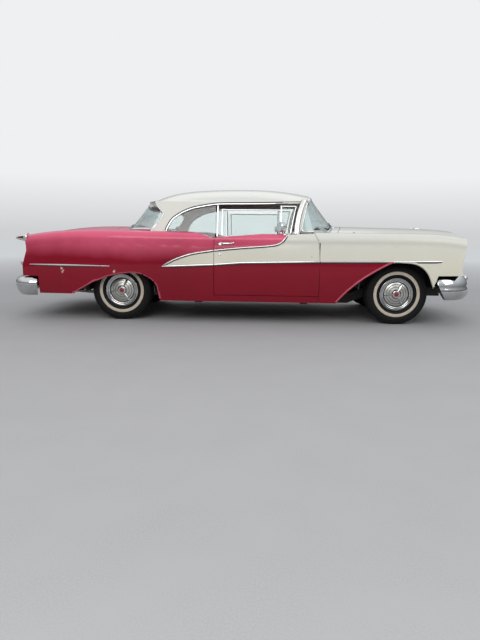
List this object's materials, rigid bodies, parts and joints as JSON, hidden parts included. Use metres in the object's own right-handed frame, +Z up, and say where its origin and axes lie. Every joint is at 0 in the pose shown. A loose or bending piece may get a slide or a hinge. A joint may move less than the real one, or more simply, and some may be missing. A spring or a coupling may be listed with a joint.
{
  "type": "classic car",
  "caption": "Two-door hardtop saloon of the middle 1950s in two colours, with opening doors, hood and luggage lid, steering and free wheels",
  "frame": {"origin": "on the ground under the middle of the whole car", "axes": "+X forward, +Y to the car's left, +Z up"},
  "size_m": [5.293, 1.979, 1.5225],
  "materials": {
    "paint_red": "gloss",
    "paint_cream": "gloss",
    "chrome": "polished",
    "glass": "clear",
    "black_paint": "satin",
    "cast_iron": "rough",
    "tyre": "matte",
    "upholstery": "woven",
    "lamp_glass": "clear",
    "red_glass": "clear",
    "steel": "aged",
    "plastic": "gloss"
  },
  "bodies": {
    "root": {"fender_left": "paint_cream", "fender_right": "paint_cream", "cowl": "paint_cream", "roof": "paint_cream", "quarter_left": "paint_red", "quarter_right": "paint_red", "rear_panel": "paint_red", "front_panel": "paint_cream", "parcel_shelf": "paint_red", "rockers": "paint_red", "quarter_glass": "glass", "windshield": "glass", "rear_window": "glass", "front_bumper": "chrome", "rear_bumper": "chrome", "grille": "chrome", "headlamps": "lamp_glass", "tail_lamps": "chrome", "front_seat": "upholstery", "rear_seat": "upholstery", "dashboard": "paint_red", "steering_column": "black_paint", "engine": "cast_iron", "radiator": "black_paint", "frame": "black_paint", "floor_pan": "black_paint", "luggage_floor": "black_paint", "front_suspension": "steel", "rear_axle": "cast_iron", "leaf_springs": "steel", "exhaust": "steel", "fuel_tank": "steel"},
    "hood_body": {"hood": "paint_cream"},
    "deck_lid_body": {"deck_lid": "paint_red"},
    "door_body_left": {"door_left": "paint_red", "door_glass_left": "glass"},
    "door_body_right": {"door_right": "paint_red", "door_glass_right": "glass"},
    "steering_wheel_body": {"steering_wheel": "plastic"},
    "knuckle_body_left": {"knuckle_left": "cast_iron"},
    "knuckle_body_right": {"knuckle_right": "cast_iron"},
    "wheel_body_front_left": {"tyre_front_left": "tyre", "wheel_front_left": "chrome"},
    "wheel_body_front_right": {"tyre_front_right": "tyre", "wheel_front_right": "chrome"},
    "wheel_body_rear_left": {"tyre_rear_left": "tyre", "wheel_rear_left": "chrome"},
    "wheel_body_rear_right": {"tyre_rear_right": "tyre", "wheel_rear_right": "chrome"}
  },
  "joints": [
    {"name": "hood_hinge", "type": "hinge", "parent": "root", "child": "hood_body", "pos_m": [1.1652, 0, 1.081], "axis": [0, -1, 0], "range_deg": [0, 45]},
    {"name": "deck_lid_hinge", "type": "hinge", "parent": "root", "child": "deck_lid_body", "pos_m": [-1.5022, 0, 1.06], "axis": [0, 1, 0], "range_deg": [0, 50]},
    {"name": "door_hinge_left", "type": "hinge", "parent": "root", "child": "door_body_left", "pos_m": [0.8477, 0.987, 0.64], "axis": [0, 0, -1], "range_deg": [0, 68]},
    {"name": "door_hinge_right", "type": "hinge", "parent": "root", "child": "door_body_right", "pos_m": [0.8477, -0.987, 0.64], "axis": [0, 0, 1], "range_deg": [0, 68]},
    {"name": "steer_left", "type": "hinge", "parent": "root", "child": "knuckle_body_left", "pos_m": [1.724, 0.64, 0.34], "axis": [0, 0, 1], "range_deg": [-32, 32]},
    {"name": "steer_right", "type": "hinge", "parent": "root", "child": "knuckle_body_right", "pos_m": [1.724, -0.64, 0.34], "axis": [0, 0, 1], "range_deg": [-32, 32]},
    {"name": "steering_wheel_turn", "type": "hinge", "parent": "root", "child": "steering_wheel_body", "pos_m": [0.405, 0.37, 0.885], "axis": [-0.8841, 0, 0.4672], "range_deg": [-576, 576]},
    {"name": "roll_front_left", "type": "hinge", "parent": "knuckle_body_left", "child": "wheel_body_front_left", "pos_m": [1.724, 0.73, 0.34], "axis": [0, 1, 0], "continuous": true},
    {"name": "roll_front_right", "type": "hinge", "parent": "knuckle_body_right", "child": "wheel_body_front_right", "pos_m": [1.724, -0.73, 0.34], "axis": [0, 1, 0], "continuous": true},
    {"name": "roll_rear_left", "type": "hinge", "parent": "root", "child": "wheel_body_rear_left", "pos_m": [-1.375, 0.73, 0.34], "axis": [0, 1, 0], "continuous": true},
    {"name": "roll_rear_right", "type": "hinge", "parent": "root", "child": "wheel_body_rear_right", "pos_m": [-1.375, -0.73, 0.34], "axis": [0, 1, 0], "continuous": true}
  ],
  "couplings": [
    {"joint": "steer_right", "follows": "steer_left", "ratio": 1},
    {"joint": "steering_wheel_turn", "follows": "steer_left", "ratio": 18}
  ]
}
